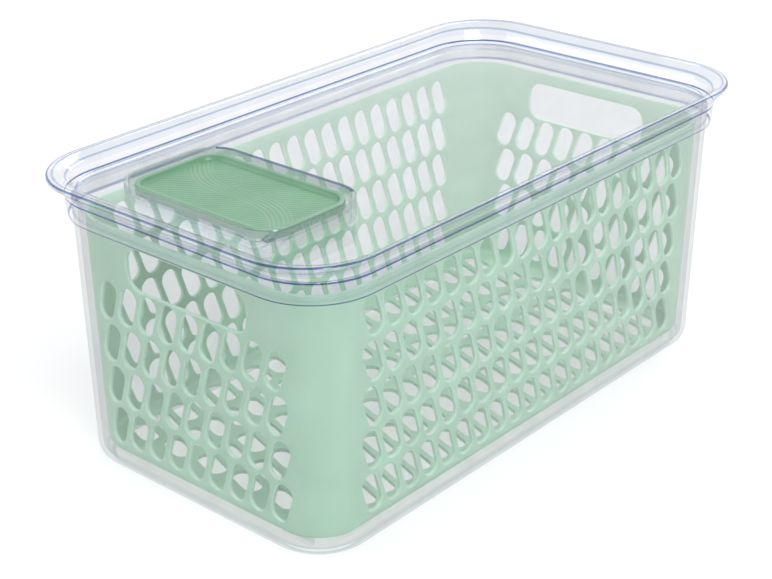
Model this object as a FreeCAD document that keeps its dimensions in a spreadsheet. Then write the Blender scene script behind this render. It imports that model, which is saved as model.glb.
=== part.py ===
import FreeCAD, Part
import os
import Sketcher
from FreeCAD import Vector

# Fridge storage box: a clear bin, a perforated basket that stands inside it on ribs, a clear
# lid with a flared lip, and a vent shutter that slides sideways in a collar on the lid.
# Frame: +Z up, origin under the middle of the bin's foot, long side along Y, and the vent near
# the short end that faces -Y. All lengths are in millimetres.

doc = FreeCAD.newDocument("fridge_storage_box")
sheet = doc.addObject("Spreadsheet::Sheet", "Sizes")

SIZES = [
    # bin
    ("bin_long", 303.6, "outside length of the bin at its foot"),
    ("bin_wide", 161.8, "outside width of the bin at its foot"),
    ("bin_corner", 28.6, "outside corner radius of the bin"),
    ("bin_tall", 132.8, "height of the bin's rim"),
    ("wall_lean", 0.0206, "how far a wall leans out for each millimetre of height"),
    ("bin_wall", 2.2, "wall and floor of the bin"),
    ("foot_bevel", 4.4, "outside bevel between floor and wall"),
    ("floor_bevel", 3.1, "inside bevel between floor and wall"),
    ("rib_tall", 4.3, "ribs on the floor that carry the basket"),
    ("rib_thick", 2.4, "thickness of a rib"),
    ("rib_length", 17.0, "length of a rib"),
    ("rib_end_at", 55.5, "middle of an end rib from the long axis"),
    ("rib_side_at", 118.5, "middle of a side rib from the short axis"),
    ("rib_margin", 0.6, "from the edge of the basket's flat base to a rib"),
    # basket
    ("basket_gap", 3.0, "clearance between basket and bin wall"),
    ("basket_wall", 2.0, "wall and floor of the basket"),
    ("basket_corner", 24.5, "outside corner radius of the basket"),
    ("basket_bevel", 1.5, "outside bevel between basket floor and wall"),
    ("basket_inner_bevel", 0.6, "inside bevel between basket floor and wall"),
    ("basket_headroom", 2.6, "from the basket's rim up to the lid"),
    ("hole_wide", 9.4, "width of a wall hole across its slant"),
    ("hole_high", 20.2, "length of a wall hole along its slant"),
    ("hole_tip", 3.8, "how far the point of a wall hole reaches past its straight sides"),
    ("hole_slant", 18.0, "lean of a wall hole in degrees"),
    ("side_pitch", 12.8, "from hole to hole along a long wall"),
    ("end_pitch", 13.05, "from hole to hole along a short wall"),
    ("hole_rise", 21.6, "from row to row up a wall"),
    ("hole_first", 15.7, "middle of the lowest row above the basket's base"),
    ("side_columns", 19, "holes in a row of a long wall"),
    ("side_rows", 5, "rows in a long wall"),
    ("end_columns", 9, "holes in a row of a short wall"),
    ("end_rows", 4, "rows in a short wall, under the grip"),
    ("grip_wide", 74.0, "width of a grip hole"),
    ("grip_tall", 20.2, "height of a grip hole"),
    ("grip_corner", 7.5, "corner radius of a grip hole"),
    ("grip_below_rim", 12.2, "strip between grip hole and basket rim"),
    ("drain_wide", 7.0, "width of a drain slot in the basket floor"),
    ("drain_length", 46.0, "length of a drain slot"),
    ("drain_pitch_across", 17.0, "from slot to slot across the floor"),
    ("drain_pitch_along", 54.0, "from slot to slot along the floor"),
    ("drain_columns", 7, "slots across the floor"),
    ("drain_rows", 5, "slots along the floor"),
    # lid
    ("lid_sheet", 2.4, "thickness of the lid's field"),
    ("skirt_gap", 0.3, "clearance between skirt and bin wall"),
    ("skirt_wall", 2.1, "thickness of the skirt at its lower edge"),
    ("skirt_drop", 9.3, "how far the skirt hangs below the bin's rim"),
    ("skirt_flare", 0.8, "how much the skirt widens towards the lip"),
    ("lip_end_out", 8.25, "how far the lip stands out past the skirt at the short ends"),
    ("lip_side_out", 5.3, "how far the lip stands out past the skirt at the long sides"),
    ("lip_tall", 11.2, "from the bin's rim to the top of the lip"),
    ("lip_grow", 5.4, "how much the corner radius grows from skirt to lip"),
    ("lip_edge", 0.9, "rounding of the lip's edge"),
    ("crest_wide", 1.3, "flat top of the lip"),
    ("crest_slope", 3.0, "fall of the lip's top towards the lid's field"),
    ("crest_end_in", 9.9, "from the lip's edge to the end of that slope, at the short ends"),
    ("crest_side_in", 6.2, "from the lip's edge to the end of that slope, at the long sides"),
    ("field_in", 4.0, "how far the lid's field lies inside the end of that slope"),
    ("field_corner", 26.0, "corner radius of the lid's field"),
    # vent
    ("vent_in", 37.7, "middle of the vent, in from the end of the bin's foot"),
    ("vent_wide", 88.4, "width of the vent shutter"),
    ("vent_deep", 52.8, "depth of the vent shutter"),
    ("vent_corner", 11.0, "corner radius of the vent shutter"),
    ("vent_tall", 4.0, "height of the vent shutter without its hooks"),
    ("vent_lift", 0.3, "running clearance under the shutter and over its hooks"),
    ("vent_travel", 2.4, "travel of the shutter to each side"),
    ("vent_side_gap", 0.2, "clearance left at the end of the travel"),
    ("vent_end_gap", 2.6, "gap between shutter and collar at front and back"),
    ("deck_rise", 3.9, "how far the deck under the shutter stands above the lid's field"),
    ("deck_sheet", 2.0, "thickness of that deck"),
    ("collar_wall", 2.0, "wall of the collar"),
    ("collar_above", 1.8, "how far the collar stands above the shutter"),
    ("tray_depth", 2.0, "depth of the shutter's top recess"),
    ("tray_rim", 2.6, "width of the rim round that recess"),
    ("tray_web", 1.1, "thickness of the shutter's top"),
    ("shutter_wall", 2.0, "wall of the shutter below its top"),
    ("air_slot_wide", 4.4, "width of an air slot in the lid"),
    ("air_slot_deep", 18.0, "length of an air slot in the lid"),
    ("air_pitch", 13.0, "from air slot to air slot"),
    ("air_slots", 5, "air slots in the lid under the shutter"),
    ("bar_wide", 4.8, "width of a shutter bar, which covers a slot at one end of the travel"),
    ("leg_thick", 3.0, "size of a hook's leg along the travel"),
    ("leg_deep", 4.0, "size of a hook's leg across the travel"),
    ("leg_at_side", 35.5, "from the vent's middle to a leg, along the travel"),
    ("leg_at_end", 17.0, "from the vent's middle to a leg, across the travel"),
    ("leg_slack", 0.3, "clearance round a leg"),
    ("hook_out", 1.2, "how far a hook reaches past its slot"),
    ("hook_thick", 1.2, "thickness of a hook"),
]
for row, (alias, number, meaning) in enumerate(SIZES, start=1):
    sheet.set("A%d" % row, alias)
    sheet.set("B%d" % row, str(number))
    sheet.setAlias("B%d" % row, alias)
    sheet.set("C%d" % row, meaning)
doc.recompute()


def s(text):
    """An expression on the sheet, from a text whose sizes are written as [alias]."""
    return text.replace("[", "Sizes.").replace("]", "")


def plane(body, role):
    for feature in body.Origin.OriginFeatures:
        if feature.Role == role:
            return feature
    raise ValueError(role)


def make_body(label):
    body = doc.addObject("PartDesign::Body", label)
    body.Label = label
    return body


def new_sketch(body, name, role, offset):
    sketch = body.newObject("Sketcher::SketchObject", name)
    sketch.AttachmentSupport = [(plane(body, role), "")]
    sketch.MapMode = "FlatFace"
    sketch.setExpression("AttachmentOffset.Base.z", s(offset))
    return sketch


def bind(sketch, constraint, text):
    index = sketch.addConstraint(constraint)
    sketch.setExpression("Constraints[%d]" % index, s(text))


def outline(body, name, height, size_x, size_y, corner, middle_y="0", start=(160.0, 300.0, 30.0),
            role="XY_Plane"):
    """A rectangle with round corners, its sizes given as expressions."""
    sketch = new_sketch(body, name, role, height)
    a, b, r = start[0] / 2, start[1] / 2, start[2]
    quarter = 1.5707963267948966

    def arc(x, y, turn):
        circle = Part.Circle(Vector(x, y, 0), Vector(0, 0, 1), r)
        return Part.ArcOfCircle(circle, turn * quarter, (turn + 1) * quarter)

    def line(x0, y0, x1, y1):
        return Part.LineSegment(Vector(x0, y0, 0), Vector(x1, y1, 0))

    sketch.addGeometry([
        line(-a + r, -b, a - r, -b), arc(a - r, -b + r, 3),
        line(a, -b + r, a, b - r), arc(a - r, b - r, 0),
        line(a - r, b, -a + r, b), arc(-a + r, b - r, 1),
        line(-a, b - r, -a, -b + r), arc(-a + r, -b + r, 2)], False)
    for first in range(8):
        sketch.addConstraint(Sketcher.Constraint("Tangent", first, 2, (first + 1) % 8, 1))
    sketch.addConstraint([
        Sketcher.Constraint("Horizontal", 0), Sketcher.Constraint("Horizontal", 4),
        Sketcher.Constraint("Vertical", 2), Sketcher.Constraint("Vertical", 6),
        Sketcher.Constraint("Equal", 1, 3), Sketcher.Constraint("Equal", 3, 5),
        Sketcher.Constraint("Equal", 5, 7)])
    bind(sketch, Sketcher.Constraint("Radius", 1, r), corner)
    bind(sketch, Sketcher.Constraint("DistanceX", 6, 1, 2, 1, 2 * a), size_x)
    bind(sketch, Sketcher.Constraint("DistanceY", 0, 1, 4, 1, 2 * b), size_y)
    bind(sketch, Sketcher.Constraint("DistanceX", -1, 1, 2, 1, a), "(" + size_x + ") / 2")
    bind(sketch, Sketcher.Constraint("DistanceY", -1, 1, 4, 1, b),
         "(" + size_y + ") / 2 + (" + middle_y + ")")
    return sketch


def polygon(body, name, role, offset, points):
    """A closed outline of straight lines through points given as pairs of expressions."""
    sketch = new_sketch(body, name, role, offset)
    count = len(points)
    spots = [Vector(*p[2:], 0) for p in points]
    for i in range(count):
        sketch.addGeometry(Part.LineSegment(spots[i], spots[(i + 1) % count]), False)
    for i in range(count):
        sketch.addConstraint(Sketcher.Constraint("Coincident", i, 2, (i + 1) % count, 1))
    for i, point in enumerate(points):
        bind(sketch, Sketcher.Constraint("DistanceX", -1, 1, i, 1, spots[i].x), point[0])
        bind(sketch, Sketcher.Constraint("DistanceY", -1, 1, i, 1, spots[i].y), point[1])
    return sketch


def rectangle(body, name, role, offset, middle_x, middle_y, size_x, size_y):
    def corner(sign_x, sign_y):
        return ("(%s) %s (%s) / 2" % (middle_x, "+" if sign_x > 0 else "-", size_x),
                "(%s) %s (%s) / 2" % (middle_y, "+" if sign_y > 0 else "-", size_y),
                10.0 * sign_x, 10.0 * sign_y)
    return polygon(body, name, role, offset,
                   [corner(-1, -1), corner(1, -1), corner(1, 1), corner(-1, 1)])


def loft(body, kind, name, sections):
    feature = body.newObject("PartDesign::" + kind, name)
    feature.Profile = sections[0]
    feature.Sections = sections[1:]
    feature.Ruled = True
    feature.Refine = False
    body.Tip = feature
    return feature


def pad(body, name, sketch, length):
    feature = body.newObject("PartDesign::Pad", name)
    feature.Profile = sketch
    feature.setExpression("Length", s(length))
    feature.Refine = False
    body.Tip = feature
    return feature


def pocket(body, name, sketch, length):
    feature = body.newObject("PartDesign::Pocket", name)
    feature.Profile = sketch
    feature.setExpression("Length", s(length))
    feature.Refine = False
    body.Tip = feature
    return feature


def row_of(body, name, role, pitch, count, reverse=False):
    feature = body.newObject("PartDesign::LinearPattern", name)
    feature.Direction = (plane(body, role), [""])
    feature.Reversed = reverse
    feature.setExpression("Length", s("[%s] * ([%s] - 1)" % (pitch, count)))
    feature.setExpression("Occurrences", s("[%s]" % count))
    return feature


def repeat(body, name, original, steps):
    feature = body.newObject("PartDesign::MultiTransform", name)
    feature.Originals = [original]
    feature.Transformations = steps
    feature.Refine = False
    body.Tip = feature
    return feature


def mirror_about(body, name, role):
    feature = body.newObject("PartDesign::Mirrored", name)
    feature.MirrorPlane = (plane(body, role), [""])
    return feature


def edges_where(body, test):
    """Names of the edges of the body's last shape whose end heights, a and b, pass a test."""
    return ["Edge%d" % (i + 1) for i, edge in enumerate(body.Tip.Shape.Edges)
            if test(edge.Vertexes[0].Z, edge.Vertexes[-1].Z)]


def faces_where(body, test):
    """Names of the faces of the body's last shape whose bounding box passes a test."""
    return ["Face%d" % (i + 1) for i, face in enumerate(body.Tip.Shape.Faces)
            if test(face.BoundBox)]


def dress(body, kind, name, size, **base):
    """Put a draft, fillet, chamfer or shell on the body's last shape."""
    last = body.Tip
    feature = body.newObject("PartDesign::" + kind, name)
    for property_name, names in base.items():
        setattr(feature, property_name, (last, names))
    size_property = {"Draft": "Angle", "Fillet": "Radius", "Thickness": "Value", "Chamfer": "Size"}
    feature.setExpression(size_property[kind], s(size))
    feature.Refine = False
    if kind in ("Draft", "Thickness"):
        feature.Reversed = True
    body.Tip = feature
    doc.recompute()


def tub(body, name, bottom, top, inset, corner, wall, bevel, inner_bevel):
    """A drafted block with round upright edges, hollowed from the top, its foot bevelled."""
    grow = "2 * ([wall_lean] * (" + bottom + ") - (" + inset + "))"
    plan = rectangle(body, name + "_plan", "XY_Plane", bottom, "0", "0",
                     "[bin_wide] + " + grow, "[bin_long] + " + grow)
    pad(body, name + "_block", plan, "(" + top + ") - (" + bottom + ")")
    doc.recompute()
    box = body.Tip.Shape.BoundBox
    low, high = box.ZMin + 0.001, box.ZMax - 0.001
    dress(body, "Draft", name + "_draft", "atan([wall_lean])",
          Base=faces_where(body, lambda f: f.ZMin < low and f.ZMax > high),
          NeutralPlane=faces_where(body, lambda f: f.ZMax < low))
    dress(body, "Fillet", name + "_corners", corner,
          Base=edges_where(body, lambda a, b: min(a, b) < low and max(a, b) > high))
    dress(body, "Thickness", name + "_shell", wall,
          Base=faces_where(body, lambda f: f.ZMin > high))
    inner_floor = sorted(set(round(v.Z, 4) for v in body.Tip.Shape.Vertexes))[1]
    dress(body, "Chamfer", name + "_inner_bevel", inner_bevel,
          Base=edges_where(body, lambda a, b: max(abs(a - inner_floor), abs(b - inner_floor)) < 0.01))
    dress(body, "Chamfer", name + "_outer_bevel", bevel,
          Base=edges_where(body, lambda a, b: max(a, b) < low))


# Bin: leaning walls, round corners and a bevelled foot.
clear_bin = make_body("bin")
tub(clear_bin, "bin", "0", "[bin_tall]", "0", "[bin_corner]", "[bin_wall]", "[foot_bevel]",
    "[floor_bevel]")

# Ribs that keep the basket off the floor, two in each corner.
BASKET_BASE = "[bin_wall] + [rib_tall]"
BASKET_INSET = "[bin_wall] + [basket_gap]"
FLAT_IN = "(" + BASKET_INSET + ") + [basket_bevel] + [rib_margin] + [rib_thick] / 2"
rib_end = rectangle(clear_bin, "rib_end_plan", "XY_Plane", "[bin_wall] / 2", "[rib_end_at]",
                    "[bin_long] / 2 + [wall_lean] * (" + BASKET_BASE + ") - (" + FLAT_IN + ")",
                    "[rib_length]", "[rib_thick]")
rib_end_pad = pad(clear_bin, "rib_end", rib_end, "[bin_wall] / 2 + [rib_tall]")
repeat(clear_bin, "rib_ends", rib_end_pad,
       [mirror_about(clear_bin, "rib_end_left", "YZ_Plane"),
        mirror_about(clear_bin, "rib_end_front", "XZ_Plane")])
rib_side = rectangle(clear_bin, "rib_side_plan", "XY_Plane", "[bin_wall] / 2",
                     "[bin_wide] / 2 + [wall_lean] * (" + BASKET_BASE + ") - (" + FLAT_IN + ")",
                     "[rib_side_at]", "[rib_thick]", "[rib_length]")
rib_side_pad = pad(clear_bin, "rib_side", rib_side, "[bin_wall] / 2 + [rib_tall]")
repeat(clear_bin, "rib_sides", rib_side_pad,
       [mirror_about(clear_bin, "rib_side_left", "YZ_Plane"),
        mirror_about(clear_bin, "rib_side_front", "XZ_Plane")])
doc.recompute()

# Basket: a thin drafted tub inside the bin, pierced by slanted holes in even rows and columns.
basket = make_body("basket")
BASKET_TOP = "[bin_tall] - [basket_headroom]"
tub(basket, "basket", BASKET_BASE, BASKET_TOP, BASKET_INSET, "[basket_corner]", "[basket_wall]",
    "[basket_bevel]", "[basket_inner_bevel]")


def slanted_hole(name, role, offset, across, lean):
    """The hole nearest the low start of a pattern: a long hexagon leaning by the slant."""
    up = BASKET_BASE + " + [hole_first]"
    sine = "%s * sin([hole_slant] * 1 deg)" % ("1" if lean > 0 else "-1")
    cosine = "cos([hole_slant] * 1 deg)"
    points = []
    for along, aside in ((0.5, 0), (0.4, -0.5), (-0.4, -0.5), (-0.5, 0), (-0.4, 0.5), (0.4, 0.5)):
        if aside == 0:
            far = "[hole_high] * %s" % along
        else:
            far = "([hole_high] / 2 - [hole_tip]) * %s" % ("1" if along > 0 else "-1")
        wide = "[hole_wide] * %s" % aside
        x = "(%s) + (%s) * %s + (%s) * %s" % (across, far, sine, wide, cosine)
        y = "(%s) + (%s) * %s - (%s) * %s" % (up, far, cosine, wide, sine)
        points.append((x, y, 8.0 * aside, 17.0 * along))
    return polygon(basket, name, role, offset, points)


drain_plan = rectangle(basket, "drain_plan", "XY_Plane", BASKET_BASE + " + [basket_wall] + 3",
                       "-[drain_pitch_across] * ([drain_columns] - 1) / 2",
                       "-[drain_pitch_along] * ([drain_rows] - 1) / 2",
                       "[drain_wide]", "[drain_length]")
drain = pocket(basket, "drain", drain_plan, "[basket_wall] + 6")
repeat(basket, "drains", drain,
       [row_of(basket, "drain_across", "X_Axis", "drain_pitch_across", "drain_columns"),
        row_of(basket, "drain_along", "Y_Axis", "drain_pitch_along", "drain_rows")])
doc.recompute()
grip_plan = outline(basket, "grip_plan", "[bin_long]", "[grip_wide]", "[grip_tall]",
                    "[grip_corner]", BASKET_TOP + " - [grip_below_rim] - [grip_tall] / 2",
                    start=(74.0, 20.0, 7.5), role="XZ_Plane")
pocket(basket, "grips", grip_plan, "[bin_long] * 2")
doc.recompute()
end_plan = slanted_hole("end_hole_plan", "XZ_Plane", "[bin_long]",
                        "-[end_pitch] * ([end_columns] - 1) / 2", 1)
end_hole = pocket(basket, "end_hole", end_plan, "[bin_long] * 2")
repeat(basket, "end_holes", end_hole,
       [row_of(basket, "end_along", "X_Axis", "end_pitch", "end_columns"),
        row_of(basket, "end_up", "Z_Axis", "hole_rise", "end_rows")])
doc.recompute()
side_plan = slanted_hole("side_hole_plan", "YZ_Plane", "[bin_wide]",
                         "-[side_pitch] * ([side_columns] - 1) / 2", -1)
side_hole = pocket(basket, "side_hole", side_plan, "[bin_wide] * 2")
repeat(basket, "side_holes", side_hole,
       [row_of(basket, "side_along", "Y_Axis", "side_pitch", "side_columns"),
        row_of(basket, "side_up", "Z_Axis", "hole_rise", "side_rows")])
doc.recompute()

# Lid: a flat field, a skirt outside the bin's rim, and a lip that flares like a trumpet.
lid = make_body("lid")
SKIRT_LOW = "[bin_tall] - [skirt_drop]"
LIP_TOP = "[bin_tall] + [lip_tall]"
FIELD_TOP = "[bin_tall] + [lid_sheet]"
SKIRT_OUT = "[wall_lean] * (" + SKIRT_LOW + ") + [skirt_gap] + [skirt_wall]"
SKIRT_CORNER = "[bin_corner] + [skirt_gap] + [skirt_wall]"


def lid_outline(name, height, share, extra):
    """Outside of the lid: the skirt's outline, moved out by a share of the lip's overhang."""
    flare = "(" + SKIRT_OUT + ") + (" + extra + ")"
    return outline(lid, name, height,
                   "[bin_wide] + 2 * (%s) + 2 * [lip_side_out] * %s" % (flare, share),
                   "[bin_long] + 2 * (%s) + 2 * [lip_end_out] * %s" % (flare, share),
                   "%s + (%s) + [lip_grow] * %s" % (SKIRT_CORNER, extra, share),
                   start=(172.0, 314.0, 32.0))


loft(lid, "AdditiveLoft", "lid_outside", [
    lid_outline("skirt_edge", SKIRT_LOW, "0", "-[lip_edge]"),
    lid_outline("skirt_low", SKIRT_LOW + " + [lip_edge]", "0", "0"),
    lid_outline("flare_start", "[bin_tall] + [lip_tall] * 0.2", "0", "[skirt_flare]"),
    lid_outline("flare_low", "[bin_tall] + [lip_tall] * 0.4", "0.28", "[skirt_flare] * 0.7"),
    lid_outline("flare_high", "[bin_tall] + [lip_tall] * 0.68", "0.74", "[skirt_flare] * 0.3"),
    lid_outline("lip_under", LIP_TOP + " - 2 * [lip_edge]", "1", "0"),
    lid_outline("lip_over", LIP_TOP + " - [lip_edge] * 0.7", "1", "0"),
    lid_outline("lip_crest", LIP_TOP, "1", "-[lip_edge]")])


def pool_outline(name, height, end_in, side_in, corner):
    """Inside of the lip, measured in from its edge."""
    return outline(lid, name, height,
                   "[bin_wide] + 2 * (%s) + 2 * [lip_side_out] - 2 * (%s)" % (SKIRT_OUT, side_in),
                   "[bin_long] + 2 * (%s) + 2 * [lip_end_out] - 2 * (%s)" % (SKIRT_OUT, end_in),
                   corner, start=(165.0, 306.0, 30.0))


CREST_IN = "[lip_edge] + [crest_wide]"
LIP_CORNER = SKIRT_CORNER + " + [lip_grow]"
loft(lid, "SubtractiveLoft", "lid_pool", [
    pool_outline("field_edge", FIELD_TOP, "[crest_end_in] + [field_in]",
                 "[crest_side_in] + [field_in]", "[field_corner]"),
    pool_outline("slope_end", LIP_TOP + " - [crest_slope]", "[crest_end_in]", "[crest_side_in]",
                 "[field_corner] + [field_in]"),
    pool_outline("crest_inner", LIP_TOP, CREST_IN, CREST_IN,
                 LIP_CORNER + " - (" + CREST_IN + ")"),
    pool_outline("crest_clear", LIP_TOP + " + 1", CREST_IN, CREST_IN,
                 LIP_CORNER + " - (" + CREST_IN + ")")])


def hood_outline(name, height):
    grow = "[wall_lean] * (" + height + ") + [skirt_gap]"
    return outline(lid, name, height, "[bin_wide] + 2 * (" + grow + ")",
                   "[bin_long] + 2 * (" + grow + ")", "[bin_corner] + [skirt_gap]",
                   start=(168.0, 309.0, 30.0))


loft(lid, "SubtractiveLoft", "lid_hood", [
    hood_outline("hood_low", SKIRT_LOW + " - 1"), hood_outline("hood_high", "[bin_tall]")])
doc.recompute()

# Collar and raised deck of the vent, with slots for air and for the shutter's hooks.
VENT_Y = "[vent_in] - [bin_long] / 2"
DECK_TOP = FIELD_TOP + " + [deck_rise]"
DECK_LOW = DECK_TOP + " - [deck_sheet]"
SHUTTER_LOW = DECK_TOP + " + [vent_lift]"
SHUTTER_TOP = SHUTTER_LOW + " + [vent_tall]"
POCKET_X = "[vent_wide] + 2 * ([vent_travel] + [vent_side_gap])"
POCKET_Y = "[vent_deep] + 2 * [vent_end_gap]"
POCKET_CORNER = "[vent_corner] + [vent_end_gap]"
COLLAR_TOP = SHUTTER_TOP + " + [collar_above]"
collar_plan = outline(lid, "collar_plan", FIELD_TOP + " - [lid_sheet] / 2",
                      POCKET_X + " + 2 * [collar_wall]", POCKET_Y + " + 2 * [collar_wall]",
                      POCKET_CORNER + " + [collar_wall]", VENT_Y, start=(98.0, 62.0, 15.0))
pad(lid, "collar", collar_plan,
    "[lid_sheet] / 2 + [deck_rise] + [vent_lift] + [vent_tall] + [collar_above]")
well_plan = outline(lid, "well_plan", COLLAR_TOP, POCKET_X, POCKET_Y, POCKET_CORNER, VENT_Y,
                    start=(94.0, 58.0, 13.0))
pocket(lid, "well", well_plan, "[vent_lift] + [vent_tall] + [collar_above]")
under_plan = outline(lid, "under_plan", DECK_LOW, POCKET_X, POCKET_Y, POCKET_CORNER, VENT_Y,
                     start=(94.0, 58.0, 13.0))
pocket(lid, "under_deck", under_plan, "[lid_sheet] + [deck_rise] - [deck_sheet] + 1")
air_plan = rectangle(lid, "air_plan", "XY_Plane", DECK_TOP + " + 1",
                     "-[air_pitch] * ([air_slots] - 1) / 2", VENT_Y,
                     "[air_slot_wide]", "[air_slot_deep]")
air = pocket(lid, "air_slot", air_plan, "[deck_sheet] + 2")
repeat(lid, "air_slots", air, [row_of(lid, "air_across", "X_Axis", "air_pitch", "air_slots")])
SLOT_X = "[leg_thick] + 2 * ([vent_travel] + [leg_slack])"
SLOT_Y = "[leg_deep] + 2 * [leg_slack]"
for number, (side, end) in enumerate((("-", "-"), ("", "-"), ("", ""), ("-", ""))):
    leg_slot = rectangle(lid, "leg_slot_plan_%d" % number, "XY_Plane", DECK_TOP + " + 1",
                         side + "[leg_at_side]",
                         VENT_Y + (" - [leg_at_end]" if end else " + [leg_at_end]"),
                         SLOT_X, SLOT_Y)
    pocket(lid, "leg_slot_%d" % number, leg_slot, "[deck_sheet] + 2")
doc.recompute()

# Vent shutter: a shallow tray with bars below that cover the air slots, and four hooks.
shutter = make_body("vent_shutter")
shutter_plan = outline(shutter, "shutter_plan", SHUTTER_LOW, "[vent_wide]", "[vent_deep]",
                       "[vent_corner]", VENT_Y, start=(88.0, 53.0, 11.0))
pad(shutter, "shutter_block", shutter_plan, "[vent_tall]")
tray_plan = outline(shutter, "tray_plan", SHUTTER_TOP, "[vent_wide] - 2 * [tray_rim]",
                    "[vent_deep] - 2 * [tray_rim]", "[vent_corner] - [tray_rim]", VENT_Y,
                    start=(83.0, 48.0, 8.0))
pocket(shutter, "tray", tray_plan, "[tray_depth]")
WEB_LOW = SHUTTER_TOP + " - [tray_depth] - [tray_web]"
hollow_plan = outline(shutter, "hollow_plan", WEB_LOW, "[vent_wide] - 2 * [shutter_wall]",
                      "[vent_deep] - 2 * [shutter_wall]", "[vent_corner] - [shutter_wall]",
                      VENT_Y, start=(84.0, 49.0, 9.0))
pocket(shutter, "hollow", hollow_plan, "[vent_tall]")
LEG_LOW = DECK_LOW + " - [vent_lift] - [hook_thick]"
BAR_SHIFT = "([air_slot_wide] + [bar_wide]) / 2 - [vent_travel]"
bar_plan = rectangle(shutter, "bar_plan", "XY_Plane", SHUTTER_LOW,
                     "-[air_pitch] * ([air_slots] - 1) / 2 + " + BAR_SHIFT, VENT_Y,
                     "[bar_wide]", "[vent_deep] - [shutter_wall]")
bar = pad(shutter, "bar", bar_plan, "[vent_tall] - [tray_depth] - [tray_web] / 2")
repeat(shutter, "bars", bar, [row_of(shutter, "bar_across", "X_Axis", "air_pitch", "air_slots")])
for number, (side, end) in enumerate((("-", "-"), ("", "-"), ("", ""), ("-", ""))):
    leg_y = VENT_Y + (" - [leg_at_end]" if end else " + [leg_at_end]")
    leg_plan = rectangle(shutter, "leg_plan_%d" % number, "XY_Plane", LEG_LOW,
                         side + "[leg_at_side]", leg_y, "[leg_thick]", "[leg_deep]")
    pad(shutter, "leg_%d" % number, leg_plan,
        "[hook_thick] + 2 * [vent_lift] + [deck_sheet] + [vent_tall] - [tray_depth]"
        " - [tray_web] / 2")
    hook_plan = rectangle(shutter, "hook_plan_%d" % number, "XY_Plane", LEG_LOW,
                          side + "[leg_at_side]", leg_y, "[leg_thick]",
                          "[leg_deep] + 2 * ([leg_slack] + [hook_out])")
    pad(shutter, "hook_%d" % number, hook_plan, "[hook_thick]")

doc.recompute()

nodes = [clear_bin, basket, lid, shutter]
for item in doc.Objects:
    if "Invalid" in item.State or "Error" in item.State:
        raise RuntimeError("failed: %s %s" % (item.Name, item.State))
for node in nodes:
    shape = node.Shape
    if shape.isNull() or not shape.isValid() or len(shape.Solids) != 1:
        raise RuntimeError("bad shape: " + node.Label)

os.makedirs("parts", exist_ok=True)
for node in nodes:
    node.Shape.exportStep("parts/%s.step" % node.Label)
    box = node.Shape.BoundBox
    print(node.Label, round(node.Shape.Volume / 1000.0, 2), "cm3",
          [round(v, 2) for v in (box.XMin, box.XMax, box.YMin, box.YMax, box.ZMin, box.ZMax)])
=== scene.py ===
import math

import bmesh
import bpy
from mathutils import Matrix, Vector, geometry


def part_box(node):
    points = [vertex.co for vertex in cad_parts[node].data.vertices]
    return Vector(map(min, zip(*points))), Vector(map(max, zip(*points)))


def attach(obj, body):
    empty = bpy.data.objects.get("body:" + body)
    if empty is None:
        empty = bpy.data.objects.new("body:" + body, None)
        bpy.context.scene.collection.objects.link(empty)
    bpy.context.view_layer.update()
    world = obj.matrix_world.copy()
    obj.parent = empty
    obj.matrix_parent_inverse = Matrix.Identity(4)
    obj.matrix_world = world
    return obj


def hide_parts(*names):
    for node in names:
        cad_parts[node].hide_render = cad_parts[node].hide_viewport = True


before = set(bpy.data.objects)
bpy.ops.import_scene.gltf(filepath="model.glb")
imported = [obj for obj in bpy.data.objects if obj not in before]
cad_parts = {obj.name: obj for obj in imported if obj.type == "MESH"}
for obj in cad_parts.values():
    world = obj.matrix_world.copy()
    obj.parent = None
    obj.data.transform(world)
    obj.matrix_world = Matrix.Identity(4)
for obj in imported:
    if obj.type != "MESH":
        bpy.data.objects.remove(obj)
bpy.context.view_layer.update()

# A clear fridge box: clear bin, pierced green basket inside it, clear lid with a flared lip and
# a green vent shutter in a collar. Lengths are in metres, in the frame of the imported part.

MM = 0.001

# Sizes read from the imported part
BIN_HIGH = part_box("bin")[1]
BASKET_LOW, BASKET_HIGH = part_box("basket")
LID_LOW, LID_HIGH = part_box("lid")
SHUTTER_LOW, SHUTTER_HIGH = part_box("vent_shutter")
RIM = BIN_HIGH.z
CORNERS = [(sx, sy) for sx in (1, -1) for sy in (1, -1)]
LEAN = 0.0206
HALF_X = BIN_HIGH.x - LEAN * RIM
HALF_Y = BIN_HIGH.y - LEAN * RIM

# Bin
BIN_CORNER = 27.3 * MM
BIN_WALL = 2.2 * MM
FOOT_ROUND = 7.5 * MM
FLOOR_BELOW = 2 * BIN_WALL
RIB_TALL = 4.3 * MM
RIB_THICK = 2.4 * MM
RIB_LENGTH = 17.0 * MM
RIB_END_AT = 55.5 * MM
RIB_SIDE_AT = 118.5 * MM
RIB_TURN = 0.4 * MM
RIM_TURN = 0.5 * MM

# Basket
BASKET_INSET = 5.2 * MM
BASKET_WALL = 2.0 * MM
BASKET_ROUND = 4.0 * MM
BASKET_INNER_ROUND = 2.2 * MM
HOLE_WIDE = 9.4 * MM
HOLE_HIGH = 20.0 * MM
HOLE_SLANT = math.radians(18.0)
HOLE_ROLL = 0.45 * MM
HOLE_MARGIN = 0.8 * MM
HOLE_FIRST = 22.2 * MM
HOLE_RISE = 21.6 * MM
SIDE_COLUMNS, SIDE_ROWS, SIDE_PITCH = 19, 5, 12.8 * MM
END_COLUMNS, END_ROWS, END_PITCH = 9, 4, 13.05 * MM
GRIP_WIDE, GRIP_TALL, GRIP_CORNER = 74.0 * MM, 20.2 * MM, 7.5 * MM
GRIP_BELOW_TOP = 12.2 * MM
RIM_DROP = 5.7 * MM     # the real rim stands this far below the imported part's
DRAIN_COLUMNS, DRAIN_ROWS = 6, 21
DRAIN_ACROSS, DRAIN_ALONG = 23.0 * MM, 12.8 * MM
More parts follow.
